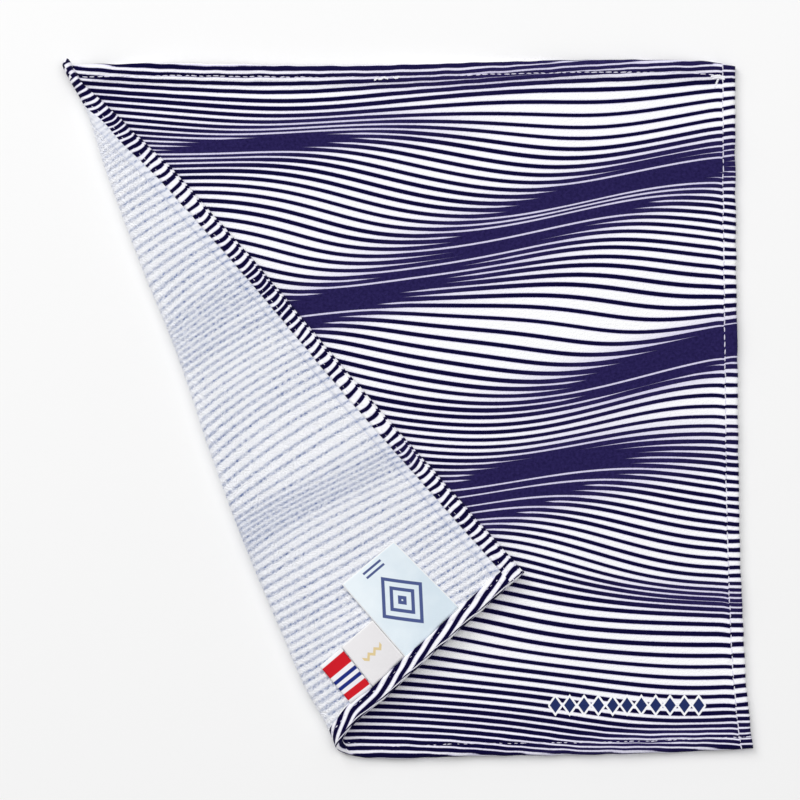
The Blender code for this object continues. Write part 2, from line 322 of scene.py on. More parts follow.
# Sewing thread, and the sizes of the hem's stitches.
THREAD_FINISH = {"Roughness": 0.7, "Sheen Weight": 0.2}
THREAD_TWIST_MM = 0.25
THREAD_BUMP_MM = 0.05
STITCH_SEGMENTS = 8
STITCH_RINGS = 6
STITCH = {"Width": 0.5 * MM, "Height": 0.34 * MM, "Unevenness": 0.12, "Turn": 0.12}
SEAM_CELL = 1.0 * MM
SEAM_END = 1.2 * MM
SeamRow = namedtuple("SeamRow", "name depth raised sizes")
SEAMS = (
    SeamRow("front_seam", FRONT, 0.05 * MM, {"Pitch": 2.7 * MM, "Length": 2.5 * MM, "Seed": 21}),
    SeamRow("back_seam", BACK, -0.15 * MM, {"Pitch": 2.7 * MM, "Length": 2.1 * MM, "Seed": 22}),
)

# How much deeper the front seam has sunk along the bottom, the top, the left and the right side.
SEAM_SUNK = mm(0.17, 0.10, 0.0, 0.07)

# The sewn-off ends of thread, by their corners' distances from the right and the top edge in millimetres.
THREAD_ENDS = (
    ((4.2, 5.0), (6.4, 4.7), (8.9, 5.3)),
    ((4.4, 5.7), (6.4, 5.3), (8.3, 5.9)),
    ((6.3, 5.6), (7.0, 7.2), (7.6, 9.0)),
    ((126.0, 4.9), (127.1, 5.3), (127.9, 4.9)),
    ((130.2, 5.3), (131.4, 4.8), (132.6, 5.4)),
    ((133.4, 5.5), (134.4, 5.2), (135.0, 5.7)),
)
THREAD_END_POINTS = 12
THREAD_END_RAISED = 0.15 * MM
THREAD_END = {
    "Pitch": 0.6 * MM,
    "Length": 1.1 * MM,
    "Width": 0.85 * MM,
    "Unevenness": 0.3,
    "Turn": 0.3,
    "Seed": 23,
}

# The woven labels, by their corners on the folded layer: left and right at the hem, left and right at the
# far end. The far end is lifted a little, and its edges more than its middle.
Label = namedtuple("Label", "name node slot corners lift cup")
LABELS = (
    Label(
        "wide_ribbon_label",
        "wide_label",
        "pale_blue_label",
        mm((-2.3, -90.7), (17.2, -71.9), (-24.8, -64.9), (-5.6, -49.0)),
        0.7 * MM,
        0.3 * MM,
    ),
    Label(
        "cream_ribbon_label",
        "cream_label",
        "cream_label",
        mm((-13.8, -101.7), (-2.5, -90.7), (-24.8, -87.9), (-13.5, -78.1)),
        0.3 * MM,
        0.1 * MM,
    ),
    Label(
        "narrow_ribbon_label",
        "narrow_label",
        "striped_label",
        mm((-22.0, -108.0), (-14.1, -102.0), (-32.9, -94.9), (-25.0, -88.2)),
        0.4 * MM,
        0.1 * MM,
    ),
)
LEAST_CUT = 10 * MM
LABEL_TUCK = 0.05
LABEL_LIE = 0.3 * MM
LABEL_THICKNESS = 0.4 * MM
LABEL_CELL = 0.8 * MM

# The labels' satin ribbon, and the plain figures woven into it.
RIBBON_FINISH = {"Roughness": 0.45, "Sheen Weight": 0.15}
RIBBON_RIB_MM = 0.35
RIBBON_GRAIN_RIBS = 2.0
RIBBON_BUMP_MM = 0.08
RIBBON_EDGE_MM = 0.2
SELVAGE_MM = 0.4
SELVAGE_STRENGTH = 0.8
# The painted sheen that pales the satin away from the hem, with its random clouds, and the painted light and
# shade on its ribs.
RIBBON_TONE_MM = 9.0
RIBBON_RIB_SHARE = 0.2
RIBBON_CLOUD = 1.2
RIBBON_SHEEN_START = 0.1
LOZENGE_HALF_WIDTH_MM = 10.5
LOZENGE_HALF_LENGTH_MM = 12.5
LOZENGE_MIDDLE_MM = 15.0
LOZENGE_LINE_MM = 0.85
LOZENGE_SHARES = (0.12, 0.5, 0.88)
BARS_AT_MM = (30.0, 32.0)
BAR_LINE_MM = 0.45
BAR_REACH_MM = 4.5
ZIGZAG_LENGTH_MM = 3.0
ZIGZAG_HEIGHT_MM = 3.0
ZIGZAG_MIDDLE_MM = 7.5
ZIGZAG_LINE_MM = 0.7
ZIGZAG_REACH_MM = 4.5

# The floor, the light and the camera, whose picture is square.
FLOOR_SIDE = 8.0
FLOOR_HEIGHT = -0.05 * MM
CAMERA_HEIGHT = 2.0
SENSOR_WIDTH = 36.0
VIEW_WIDTH = 0.296
VIEW_CENTRE = mm(-3.33, 3.145)
Light = namedtuple("Light", "name place size watts")
LIGHTS = (
    Light("window", (-1.2, 1.5, 1.6), 1.5, 29.0),
    Light("softbox", (0.3, 0.6, 2.3), 2.4, 27.5),
)
SKY = (1.0, 1.0, 1.0, 1.0)
SKY_STRENGTH = 0.38

# The colours of the print, the looped back, the thread, the ribbons and the floor.
NAVY_DEEP = colour(25, 18, 66)
NAVY_WORN = colour(44, 36, 90)
NAVY_LINE = colour(4, 0, 50)
PAPER_LOW = colour(249, 250, 253)
PAPER_HIGH = colour(255, 255, 255)
BLEED_TINT = colour(182, 174, 222)
MARK_NAVY = colour(34, 48, 98)
LOOP_LOW = colour(241, 243, 250)
LOOP_HIGH = colour(253, 253, 255)
STRIKE_BLUE = colour(98, 119, 168)
# The blue of the struck-through bands, which also paints the shade in the back's groove and tints its plain
# border.
BAND_AND_SHADE_BLUE = colour(150, 160, 190)
THREAD_WHITE = colour(234, 233, 244)
THREAD_SHADE = colour(196, 192, 218)
END_WHITE = colour(253, 253, 254)
END_SHADE = colour(228, 228, 238)
SATIN_BLUE = colour(238, 246, 251)
SATIN_BLUE_SHADE = colour(213, 227, 237)
SATIN_SLATE = colour(74, 88, 140)
SATIN_CREAM = colour(237, 235, 237)
SATIN_CREAM_SHADE = colour(229, 227, 229)
SATIN_GOLD = colour(222, 200, 150)
SATIN_WHITE = colour(247, 246, 250)
SATIN_WHITE_SHADE = colour(235, 233, 239)
SATIN_RED = colour(206, 14, 32)
SATIN_NAVY = colour(18, 38, 126)
SELVAGE_WHITE = colour(253, 252, 252)
FLOOR_GREY = colour(244, 244, 244)
FLOOR_FINISH = {"Base Color": FLOOR_GREY, "Roughness": 1.0, "Specular IOR Level": 0.0}

# The narrow label's bars: their colour, and where they start and end from the hem.
NARROW_BARS_MM = (
    (SATIN_RED, 11.0, 15.6),
    (SATIN_NAVY, 7.8, 9.2),
    (SATIN_NAVY, 5.0, 6.4),
    (SATIN_RED, 0.6, 3.4),
)


def eased(x):
    """0 to 1 on a soft S, flat at both ends."""
    x = np.clip(x, 0.0, 1.0)
    return x * x * (3 - 2 * x)


def bell(distance, width):
    """1 at no distance, falling away to 0 on either side on a bell curve of this width."""
    return np.exp(-((distance / width) ** 2))


def soft_noise(place, ripple):
    """A ripple's smooth noise of about -1 to 1 over the flat cloth, from a few sine waves that cross."""
    chance = np.random.default_rng(ripple.seed)
    total = 0
    for _ in range(RIPPLE_WAVES):
        turn, start = chance.uniform(0, 2 * math.pi, 2)
        waves = chance.uniform(*RIPPLE_SPREAD) * 2 * math.pi / ripple.length
        total = total + np.sin(place @ np.array((math.cos(turn), math.sin(turn))) * waves + start)
    return total / math.sqrt(RIPPLE_WAVES)


def curve_through(rows, column, share):
    """A column's value at each share, on a smooth curve through the rows."""
    xs = np.array([row.share for row in rows])
    ys = np.array([getattr(row, column) for row in rows])
    slopes = np.gradient(ys, xs)
    first = np.clip(np.searchsorted(xs, share) - 1, 0, len(xs) - 2)
    span = xs[first + 1] - xs[first]
    s = np.clip((share - xs[first]) / span, 0.0, 1.0)
    start = (1 + 2 * s) * (1 - s) ** 2 * ys[first] + s * (1 - s) ** 2 * span * slopes[first]
    end = s * s * (3 - 2 * s) * ys[first + 1] - s * s * (1 - s) * span * slopes[first + 1]
    return start + end


def edge_point(start, end, waves, outward, share):
    """A point of one flat edge."""
    share = share[..., None]
    swell = curve_through(waves, "swell", share)
    return start + (end - start) * share + np.array(outward) * swell


def between_corners(bottom_left, bottom_right, top_left, top_right, across, up):
    """The point at these shares of a four-cornered piece's width and height."""
    across = across[..., None]
    up = up[..., None]
    lower = (1 - across) * bottom_left + across * bottom_right
    upper = (1 - across) * top_left + across * top_right
    return (1 - up) * lower + up * upper


def flat_point(across, up):
    """The flat cloth's point at these shares of its width and height, between its four waved edges."""
    top = edge_point(TOP_LEFT, TOP_RIGHT, TOP_EDGE, (0, 1), across)
    bottom = edge_point(BOTTOM_LEFT, BOTTOM_RIGHT, BOTTOM_EDGE, (0, -1), across)
    left = edge_point(BOTTOM_LEFT, TOP_LEFT, LEFT_EDGE, (-1, 0), up)
    right = edge_point(BOTTOM_RIGHT, TOP_RIGHT, RIGHT_EDGE, (1, 0), up)
    straight = between_corners(BOTTOM_LEFT, BOTTOM_RIGHT, TOP_LEFT, TOP_RIGHT, across, up)
    across = across[..., None]
    up = up[..., None]
    return (1 - up) * bottom + up * top + (1 - across) * left + across * right - straight


def uneven_point(across, up):
    """The flat point, moved a little near the edges, so that no hem runs quite true."""
    place = flat_point(across, up)
    moved = np.stack([soft_noise(place, ripple) for ripple in EDGE_RIPPLES], axis=-1)
    nearness = bell(inset_of(across, up), EDGE_RIPPLE_REACH)
    return place + EDGE_RIPPLE * nearness[..., None] * moved


def inset_of(across, up):
    """How far inside the nearest edge a point of the cloth lies."""
    return SIDE * np.minimum(np.minimum(across, 1 - across), np.minimum(up, 1 - up))


def side_inset(across):
    """How far inside the nearer side edge a point of the cloth lies."""
    return SIDE * np.minimum(across, 1 - across)


def from_fold(place):
    """How far along the fold's straight line each place lies, and how far out from it."""
    return (place - FOLD_TOP) @ FOLD_ALONG, (place - FOLD_TOP) @ FOLD_OUT


def loop_sizes(along):
    """The loop's half height, where the cloth leaves the floor for it, and the length of cloth in it."""
    half_height = curve_through(FOLD_ROWS, "half_height", along / FOLD_LENGTH)
    start = curve_through(FOLD_ROWS, "bow", along / FOLD_LENGTH) - half_height
    return half_height, start, math.pi * (half_height - CLOTH_THICKNESS / 2)


def left_edge_out(along):
    """How far out from the fold's line the flat cloth reaches, to its left edge."""
    top_along, top_out = from_fold(TOP_LEFT)
    bottom_along, bottom_out = from_fold(BOTTOM_LEFT)
    return top_out + (along - top_along) * (bottom_out - top_out) / (bottom_along - top_along)


def hem_shelf(distance):
    """The height that the lying layer's hem adds under the folded one."""
    return HEM_EXTRA * (1 - eased((distance - HEM_SHELF) / (HEM_SHELF_END - HEM_SHELF)))


def resting_height(place):
    """The height of the folded layer's back where it has come to rest."""
    under = hem_shelf(TOP_RIGHT[1] - place[..., 1]) + hem_shelf(place[..., 1] - BOTTOM_RIGHT[1])
    from_foot = (place - FLAP_FOOT) @ FLAP_EDGE_ALONG / FLAP_EDGE_LENGTH
    inward = np.maximum((place - FLAP_FOOT) @ FLAP_EDGE_IN, 0)
    lift = LIFT_AT_FOOT + (LIFT_AT_CORNER - LIFT_AT_FOOT) * eased(from_foot)
    ripple = FLAP_RIPPLE.height * (1 + soft_noise(place, FLAP_RIPPLE)) / 2
    return 2 * CLOTH_THICKNESS + LAYER_GAP + under + ripple + lift * bell(inward, LIFT_REACH)


def flap_back(place):
    """The height of the folded layer's back, and how far it has settled from the loop's top to its rest."""
    along, outward = from_fold(place)
    half_height, loop_start, _ = loop_sizes(along)
    settled = eased((loop_start - outward) / DESCENT)
    top = 2 * half_height
    return top + (resting_height(place) - top) * settled, settled


def folded_back(across, up):
    """The plain cloth's back after folding, and how far each point has settled past the loop."""
    along, out = from_fold(uneven_point(across, up))
    half_height, loop_start, loop_length = loop_sizes(along)
    turn = np.clip((out - loop_start) / loop_length, 0, 1) * math.pi
    beyond = np.maximum(out - loop_start - loop_length, 0)
    left = left_edge_out(along) - loop_start - loop_length
    ease_length = np.clip(EASED_WIDTH * left, LEAST_EASE, MOST_EASE)
    mirror = curve_through(FOLD_ROWS, "mirror", along / FOLD_LENGTH)
    shift = (mirror - 2 * loop_start - loop_length) * eased(beyond / ease_length)
    round_loop = loop_start + half_height * np.sin(turn) - beyond + shift
    outward = np.where(out < loop_start, out, round_loop)
    place = FOLD_TOP + along[..., None] * FOLD_ALONG + outward[..., None] * FOLD_OUT
    flap_height, settled = flap_back(place)
    height = np.where(beyond > 0, flap_height, half_height * (1 - np.cos(turn)))
    return np.concatenate([place, height[..., None]], axis=-1), settled * (beyond > 0)


def cloth_normal(across, up):
    """The direction from the cloth's back to its front after folding."""
    step = NORMAL_STEP / SIDE
    sideways = folded_back(across + step, up)[0] - folded_back(across - step, up)[0]
    upward = folded_back(across, up + step)[0] - folded_back(across, up - step)[0]
    normal = np.cross(sideways, upward)
    return normal / np.linalg.norm(normal, axis=-1, keepdims=True)


def seam_groove(inset):
    """How far the seam's thread draws the cloth in."""
    return SEAM_DEPTH * bell(inset - SEAM_INSET, SEAM_WIDTH)


def border_groove(across):
    """How deep the back is drawn in where its loops begin."""
    return BORDER_DEPTH * bell(side_inset(across) - BORDER, BORDER_WIDTH)


def groove_shade_and_border_tone(across):
    """Painted shade in the groove where the back's loops begin, and the plain border's own darker tone outside
    it.
    """
    plain = PLAIN_BORDER_TONE * (side_inset(across) < BORDER)
    return np.maximum(border_groove(across) / BORDER_DEPTH, plain)


def hem_puckers(place, inset):
    """The small gathers that a seam leaves beside it."""
    return PUCKER.height * soft_noise(place, PUCKER) * bell(inset - SEAM_INSET, PUCKER_WIDTH)


def cloth_points(across, up, depth):
    """Points of the folded cloth, from its back at depth 0 to its printed front at depth 1."""
    back, settled = folded_back(across, up)
    inset = inset_of(across, up)
    place = flat_point(across, up)
    uneven = hem_puckers(place, inset) - seam_groove(inset)
    turned_edge = HEM_EXTRA * (1 - eased((inset - HEM_WIDTH + HEM_EDGE) / HEM_EDGE)) + uneven
    soft_edge = HEM_EXTRA * (1 - eased((inset - HEM_FRONT_START) / HEM_FRONT_FADE)) + uneven
    ripple = FRONT_RIPPLE.height * soft_noise(place, FRONT_RIPPLE)
    low = settled * (border_groove(across) - turned_edge)
    high = CLOTH_THICKNESS + (1 - settled) * (soft_edge + ripple)
    return back + cloth_normal(across, up) * (low + depth * (high - low))[..., None]


def even_lines(start, end, cell):
    """Values from start to end in even cells of about this size."""
    count = max(1, round((end - start) / cell))
    return [start + (end - start) * i / count for i in range(count + 1)]


Layer = namedtuple("Layer", "across up points")


def grid_of(across_lines, up_lines):
    """The shares across and up at every crossing of the lines."""
    return np.meshgrid(np.array(across_lines), np.array(up_lines))


def shares_of(layer):
    """The shares across and up of a layer's points, as rows."""
    return np.stack([layer.across, layer.up], axis=-1).reshape(-1, 2)


def closed_sheet(name, layers):
    """A closed mesh from layers of one grid, back to front, and each face corner's shares of the flat piece.

    The first and last layers are whole. Those between them only shape the rim.
    """
    rows, columns = layers[0].across.shape
    grid = np.arange(rows * columns).reshape(rows, columns)
    edge = np.concatenate([grid[0, :-1], grid[:-1, -1], grid[-1, :0:-1], grid[:0:-1, 0]])
    quads = np.stack([grid[:-1, :-1], grid[:-1, 1:], grid[1:, 1:], grid[1:, :-1]], axis=-1).reshape(-1, 4)
    back, *between, front = layers
    points = [back.points.reshape(-1, 3), front.points.reshape(-1, 3)]
    shares = [shares_of(back), shares_of(front)]
    rings = [edge]
    for number, layer in enumerate(between):
        rings.append(2 * grid.size + number * len(edge) + np.arange(len(edge)))
        points.append(layer.points.reshape(-1, 3)[edge])
        shares.append(shares_of(layer)[edge])
    rings.append(edge + grid.size)
    faces = [quads[:, ::-1], quads + grid.size]
    for lower, upper in zip(rings, rings[1:]):
        faces.append(np.stack([lower, np.roll(lower, -1), np.roll(upper, -1), upper], axis=-1))
    faces = np.concatenate(faces)
    mesh = bpy.data.meshes.new(name)
    mesh.from_pydata(np.concatenate(points).tolist(), [], faces.tolist())
    mesh.shade_smooth()
    return mesh, np.concatenate(shares)[faces], len(quads)


def add_flat_map(mesh, places):
    """Gives every face corner its place on the flat piece, in metres, as a UV map."""
    flat_map = mesh.uv_layers.new(name=FLAT_MAP)
    flat_map.data.foreach_set("uv", places.astype(np.float32).ravel())


def add_piece(name, mesh, *materials):
    """A named object at the origin with its mesh's materials."""
    for material in materials:
        mesh.materials.append(material)
    piece = bpy.data.objects.new(name, mesh)
    bpy.context.scene.collection.objects.link(piece)
    return piece


def sheet_lines():
    """The towel's grid lines, as shares of a side: close together in the hems and even between them."""
    hem = HEM_LINES[:-1]
    middle = even_lines(HEM_LINES[-1], SIDE - HEM_LINES[-1], SHEET_CELL)
    insets = hem + middle + [SIDE - inset for inset in reversed(hem)]
    return [inset / SIDE for inset in insets]


def rim_shares(share, reach):
    """The shares with the outermost line moved to this reach inside the edge, or outside it if negative."""
    nearest = RIM_DEPTH / SIDE
    share = np.where(np.isclose(share, nearest), reach / SIDE, share)
    return np.where(np.isclose(share, 1 - nearest), 1 - reach / SIDE, share)


def turned_shares(shares):
    """Face corners of the hem on the back show the print that was turned under, beyond the cloth's edge."""
    middles = shares.mean(axis=1, keepdims=True)
    hem = HEM_WIDTH / SIDE
    turned = np.where(middles < hem, -shares, np.where(middles > 1 - hem, 2 - shares, shares))
    in_hem = (middles < hem) | (middles > 1 - hem)
    return turned, in_hem.any(axis=(1, 2))


def slipped_shares(turned):
    """The turned hem's shares, slipped along the edge so that its stripes cross the hem in a slight S."""
    beyond = np.maximum(-turned, turned - 1) * SIDE
    inner = np.clip(HEM_WIDTH - beyond, 0, HEM_WIDTH) / HEM_WIDTH
    bend = HEM_SLIP * (1 - inner) + HEM_BEND * inner * (1 - inner)
    chance = soft_noise(flat_point(turned[..., 0], turned[..., 1]), SLIP_RIPPLE)
    slip = np.where(beyond > 0, bend + SLIP_RIPPLE.height * chance[..., None] * (1 - inner), 0)
    return turned + slip[..., ::-1] / SIDE


def seam_drag(across):
    """How far the side seams have drawn the print along just inside them."""
    inward = side_inset(across) - SEAM_INSET
    return np.where(inward < 0, 0, SEAM_DRAG * np.exp(-np.maximum(inward, 0) / SEAM_DRAG_WIDTH))


def towel_cloth(printed, looped):
    """The folded towel: its printed front, rim and turned hems, and its looped back."""
    lines = sheet_lines()
    across, up = grid_of(lines, lines)
    layers = []
    for angle in map(math.radians, RIM_ANGLES):
        depth = (1 + math.sin(angle)) / 2
        outline = [rim_shares(share, RIM_DEPTH * (1 - math.cos(angle))) for share in (across, up)]
        unrolled = [rim_shares(share, RIM_DEPTH * math.sin(angle)) for share in (across, up)]
        layers.append(Layer(*unrolled, cloth_points(*outline, depth)))
    layers[0] = Layer(across, up, layers[0].points)
    mesh, shares, quads = closed_sheet("towel_cloth", layers)
    shade = mesh.attributes.new(GROOVE_SHADE_AND_BORDER_TONE, "FLOAT", "CORNER")
    shade.data.foreach_set("value", groove_shade_and_border_tone(shares[..., 0]).astype(np.float32).ravel())
    turned, in_hem = turned_shares(shares[:quads])
    shares[:quads] = slipped_shares(turned)
    places = flat_point(shares[..., 0], shares[..., 1])
    places[..., 1] += seam_drag(shares[..., 0])
    add_flat_map(mesh, places)
    looped_faces = np.zeros(len(shares), np.int32)
    looped_faces[:quads] = ~in_hem
    mesh.polygons.foreach_set("material_index", looped_faces)
    return add_piece("towel_cloth", mesh, printed, looped)


class Wire:
    """A number on its way through a node tree. Arithmetic on it adds the Math nodes."""

    def __init__(self, socket):
        self.socket = socket
        self.tree = socket.id_data

    def through(self, operation, *others):
        """The result of a Math node on the number and these others."""
        return arithmetic(self.tree, operation, self, *others)

    def clamped(self):
        """The number, kept between 0 and 1."""
        kept = self.through("ADD", 0)
        kept.socket.node.use_clamp = True
        return kept

    def __add__(self, other):
        return self.through("ADD", other)

    def __sub__(self, other):
        return self.through("SUBTRACT", other)

    def __mul__(self, other):
        return self.through("MULTIPLY", other)

    def __truediv__(self, other):
        return self.through("DIVIDE", other)

    def __rsub__(self, other):
        return arithmetic(self.tree, "SUBTRACT", other, self)

    def __rtruediv__(self, other):
        return arithmetic(self.tree, "DIVIDE", other, self)

    __radd__ = __add__
    __rmul__ = __mul__


def feed(socket, value):
    """Links a wire or another node's output to a node's input, or sets its plain value."""
    if isinstance(value, Wire):
        value = value.socket
    if isinstance(value, bpy.types.NodeSocket):
        socket.id_data.links.new(value, socket)
    else:
        socket.default_value = value


def add_node(tree, kind, inputs=(), **settings):
    """A node with its settings and with its inputs fed by name."""
    node = tree.nodes.new(kind)
    for setting, value in settings.items():
        setattr(node, setting, value)
    for name, value in dict(inputs).items():
        feed(next(socket for socket in node.inputs if socket.name == name and socket.enabled), value)
    return node


def arithmetic(tree, operation, *values):
    """The result of one Math node."""
    node = add_node(tree, "ShaderNodeMath", operation=operation)
    for socket, value in zip(node.inputs, values):
        feed(socket, value)
    return Wire(node.outputs[0])


def add_sockets(tree, kind, names, in_out="INPUT"):
    """Gives a node group its named inputs or outputs."""
    for name in names:
        tree.interface.new_socket(name, in_out=in_out, socket_type="NodeSocket" + kind)


def number_group(name, inputs, outputs):
    """A node group of plain numbers: its tree, the wires that come in and the node that they leave by."""
    tree = bpy.data.node_groups.new(name, "ShaderNodeTree")
    add_sockets(tree, "Float", inputs)
    add_sockets(tree, "Float", outputs, "OUTPUT")
    entry = add_node(tree, "NodeGroupInput")
    return tree, [Wire(entry.outputs[socket]) for socket in inputs], add_node(tree, "NodeGroupOutput")


def worked_out(group, x, y, *others):
    """What leaves a node group of plain numbers when these go in."""
    node = add_node(x.tree, "ShaderNodeGroup", node_tree=group)
    for socket, value in zip(node.inputs, (x, y, *others)):
        feed(socket, value)
    return [Wire(socket) for socket in node.outputs]


def noise_at(tree, vector, grain_mm=1, detail=CLOUD_DETAIL):
    """Cloudy noise of 0 to 1, with this grain."""
    inputs = {"Vector": vector, "Scale": 1 / grain_mm, "Detail": detail}
    return Wire(add_node(tree, "ShaderNodeTexNoise", inputs).outputs["Fac"])


def vector_of(x, y):
    """The two numbers as one vector."""
    return add_node(x.tree, "ShaderNodeCombineXYZ", {"X": x, "Y": y}).outputs["Vector"]


def blend_of(tree, factor, low, high):
    """A colour between two, each a plain colour or another node's output."""
    node = add_node(tree, "ShaderNodeMix", data_type="RGBA")
    feed(node.inputs["Factor"], factor)
    for socket, value in zip([socket for socket in node.inputs if socket.type == "RGBA"], (low, high)):
        feed(socket, value)
    return next(socket for socket in node.outputs if socket.type == "RGBA")


def add_material(name, finish):
    """A new material, its tree and its shader, which takes these plain values."""
    material = bpy.data.materials.new(name)
    material.use_nodes = True
    shader = material.node_tree.nodes["Principled BSDF"]
    for socket, value in finish.items():
        shader.inputs[socket].default_value = value
    return material, material.node_tree, shader


def cloth_material(name, finish):
    """A new cloth material: its tree, its shader, and the place on the flat cloth in millimetres."""
    material, tree, shader = add_material(name, {**CLOTH_FINISH, **finish})
    flat_map = add_node(tree, "ShaderNodeUVMap", uv_map=FLAT_MAP)
    place = add_node(tree, "ShaderNodeSeparateXYZ", {"Vector": flat_map.outputs["UV"]})
    return material, tree, shader, Wire(place.outputs["X"]) / MM, Wire(place.outputs["Y"]) / MM


def raise_surface(shader, height_mm):
    """A fine bump of this height in millimetres."""
    bump = add_node(shader.id_data, "ShaderNodeBump", {"Height": height_mm, "Distance": MM, "Strength": 1.0})
    feed(shader.inputs["Normal"], bump.outputs["Normal"])


def swell_group():
    """How far one swell pushes the stripes together, in stripes, and how much it floods their gaps."""
    inputs = ("place x", "place y", *Swell._fields)
    group, wires, result = number_group("swell", inputs, ("shift", "flood"))
    place_x, place_y, x, y, slope, reach, width, lines = wires
    aside = place_x - x
    along = aside / reach
    bend = (aside / SWELL_BEND_LENGTH_MM).through("SINE") * SWELL_BEND_MM
    across = (place_y - y - slope * aside - bend) / width
    outside = across / SWELL_TAIL
    fade = (0 - along * along - outside * outside).through("EXPONENT")
    feed(result.inputs["shift"], lines * across.through("TANH") * fade)
    inside = across / FLOOD_WIDTH
    strength = lines * FLOOD_OF_LINE
    feed(result.inputs["flood"], strength * (0 - along * along - inside * inside).through("EXPONENT"))
    return group


def beyond_fold_mm(x, y):
    """How far out from the fold's straight line a place on the flat cloth lies."""
    return (x - FOLD_TOP[0] / MM) * FOLD_OUT[0] + (y - FOLD_TOP[1] / MM) * FOLD_OUT[1]


def stripe_count_group():
    """How many stripes lie below a place, counted from the middle of the cloth, and how flooded it is."""
    group, (x, y), result = number_group("stripe_count", ("x", "y"), ("count", "flood"))
    count = y / STRIPE_PITCH_MM
    floods = []
    for wave in STRIPE_WAVES:
        count += wave.stripes * (x / wave.x_mm + y / wave.y_mm + wave.start).through("SINE")
    beyond = beyond_fold_mm(x, y).through("MAXIMUM", 0)
    count += beyond * beyond / (beyond + FOLD_DRIFT_START_MM) * FOLD_DRIFT
    swell = swell_group()
    for row in SWELLS:
        shift, flood = worked_out(swell, x, y, *row)
        count += shift
        floods.append(flood)
    feed(result.inputs["count"], count)
    feed(result.inputs["flood"], sum(floods[1:], floods[0]))
    return group


def stripes_group():
    """How far a place is from the nearest stripe's middle, half that stripe's width, and the crowding."""
    outputs = ("distance", "half width", "crowding")
    group, (x, y), result = number_group("stripes", ("x", "y"), outputs)
    counting = stripe_count_group()
    count, flood = worked_out(counting, x, y)
    above, _ = worked_out(counting, x, y + STRIPE_STEP_MM)
    density = ((above - count) / STRIPE_STEP_MM).through("ABSOLUTE").through("MAXIMUM", LEAST_DENSITY)
    gap = add_node(group, "ShaderNodeTexWhiteNoise", {"W": count.through("FLOOR")}, noise_dimensions="1D")
    chance = Wire(gap.outputs["Value"])
    half_pitch = 0.5 / density
    line = (1 + (chance - 0.5) * STRIPE_VARIETY) * (STRIPE_WIDTH_MM / 2)
    plain = half_pitch - line - (flood - FLOOD_START).clamped() * FLOOD_INK_MM
    open_share = 1 - chance.through("GREATER_THAN", SLIVER_SHARE)
    limit = open_share * OPEN_LIMIT + chance * CLOSING_SPREAD + CLOSING_LIMIT
    tapered = ((limit - flood) * SLIVER_TAPER).through("MAXIMUM", -1).through("MINIMUM", 1)
    open_gap = plain.through("MAXIMUM", tapered * (SLIVER_MM / 2))
    white = open_gap.through("MINIMUM", half_pitch - LEAST_LINE_MM / 2)
    middle = (count.through("FRACT") - 0.5).through("ABSOLUTE")
    feed(result.inputs["distance"], half_pitch - middle / density)
    feed(result.inputs["half width"], half_pitch - white)
    feed(result.inputs["crowding"], flood.clamped())
    return group


def lozenge_size(aside, above, half_width_mm, half_height_mm):
    """The size of the lozenge whose edge runs through a place, as a share of the whole one."""
    return aside.through("ABSOLUTE") / half_width_mm + above.through("ABSOLUTE") / half_height_mm


def lozenge_row(x, y):
    """A short row of small lozenges near one corner, and the white clearing round them."""
    from_middle = x - ROW_X_MM
    aside = ((from_middle / ROW_PITCH_MM + 0.5).through("FRACT") - 0.5) * ROW_PITCH_MM
    size = lozenge_size(aside, y - ROW_Y_MM, ROW_HALF_WIDTH_MM, ROW_HALF_HEIGHT_MM)
    inside = band_at(from_middle, ROW_PITCH_MM * ROW_COUNT / 2)
    sharpness = ROW_HALF_WIDTH_MM / INK_EDGE_MM
    return [((edge - size) * sharpness + 0.5).clamped() * inside for edge in (1, ROW_CLEARING)]


def printed_material(stripes):
    """The smooth printed face: navy stripes on white."""
    material, tree, shader, x, y = cloth_material("printed_towelling", PRINT_FINISH)
    place = vector_of(x, y)
    weave = noise_at(tree, place, WEAVE_GRAIN_MM)
    distance, half_width, crowding = worked_out(stripes, x, y + (weave - 0.5) * PRINT_WOBBLE_MM)
    reach = half_width - distance
    ink = (reach / INK_EDGE_MM + 0.5).clamped()
    patches = noise_at(tree, place, INK_PATCH_MM, INK_PATCH_DETAIL)
    solid = ((crowding - SOLID_START) / SOLID_RANGE).clamped()
    navy = blend_of(tree, ((patches - 0.5) * INK_PATCH_CONTRAST + 0.5).clamped(), NAVY_DEEP, NAVY_WORN)
    shade = blend_of(tree, solid, NAVY_LINE, navy)
    marks, clearing = lozenge_row(x, y)
    bleed = (reach / BLEED_MM + 1).clamped() * (1 - clearing) * BLEED_STRENGTH
    tinted = bleed.through("MAXIMUM", solid * SLIVER_TINT * (1 - clearing))
    white = blend_of(tree, tinted, blend_of(tree, weave, PAPER_LOW, PAPER_HIGH), BLEED_TINT)
    striped = blend_of(tree, ink * (1 - clearing), white, shade)
    feed(shader.inputs["Base Color"], blend_of(tree, marks, striped, MARK_NAVY))
    raise_surface(shader, weave * WEAVE_BUMP_MM + patches * SOFT_BUMP_MM)
    return material


